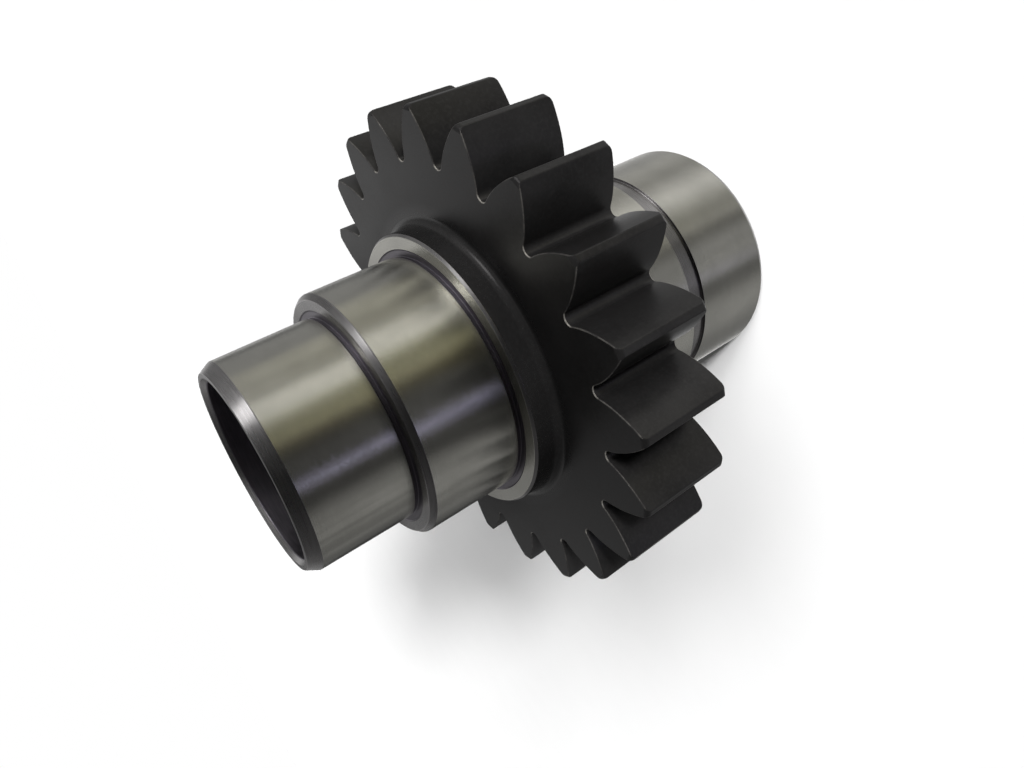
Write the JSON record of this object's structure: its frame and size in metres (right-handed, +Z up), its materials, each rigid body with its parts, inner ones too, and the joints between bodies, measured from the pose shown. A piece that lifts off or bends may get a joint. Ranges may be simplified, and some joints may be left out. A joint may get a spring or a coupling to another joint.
{
  "type": "pinion gear",
  "caption": "Hollow pinion shaft with an integral spur-toothed rim, a collar, ground bearing journals on both sides and a plain through bore.",
  "frame": {"origin": "centre of the rear end face, which the part stands on", "axes": "+Z up the shaft's axis towards the front journal; +X through the middle of a tooth"},
  "size_m": [0.1831, 0.1836, 0.197],
  "materials": {
    "gear_steel": "case-hardened steel, dark blackened faces and tooth flanks, with cylindrical journals and shoulders ground bright; fine round-the-shaft grinding lines"
  },
  "bodies": {
    "root": {"pinion_gear": "gear_steel"}
  },
  "joints": []
}
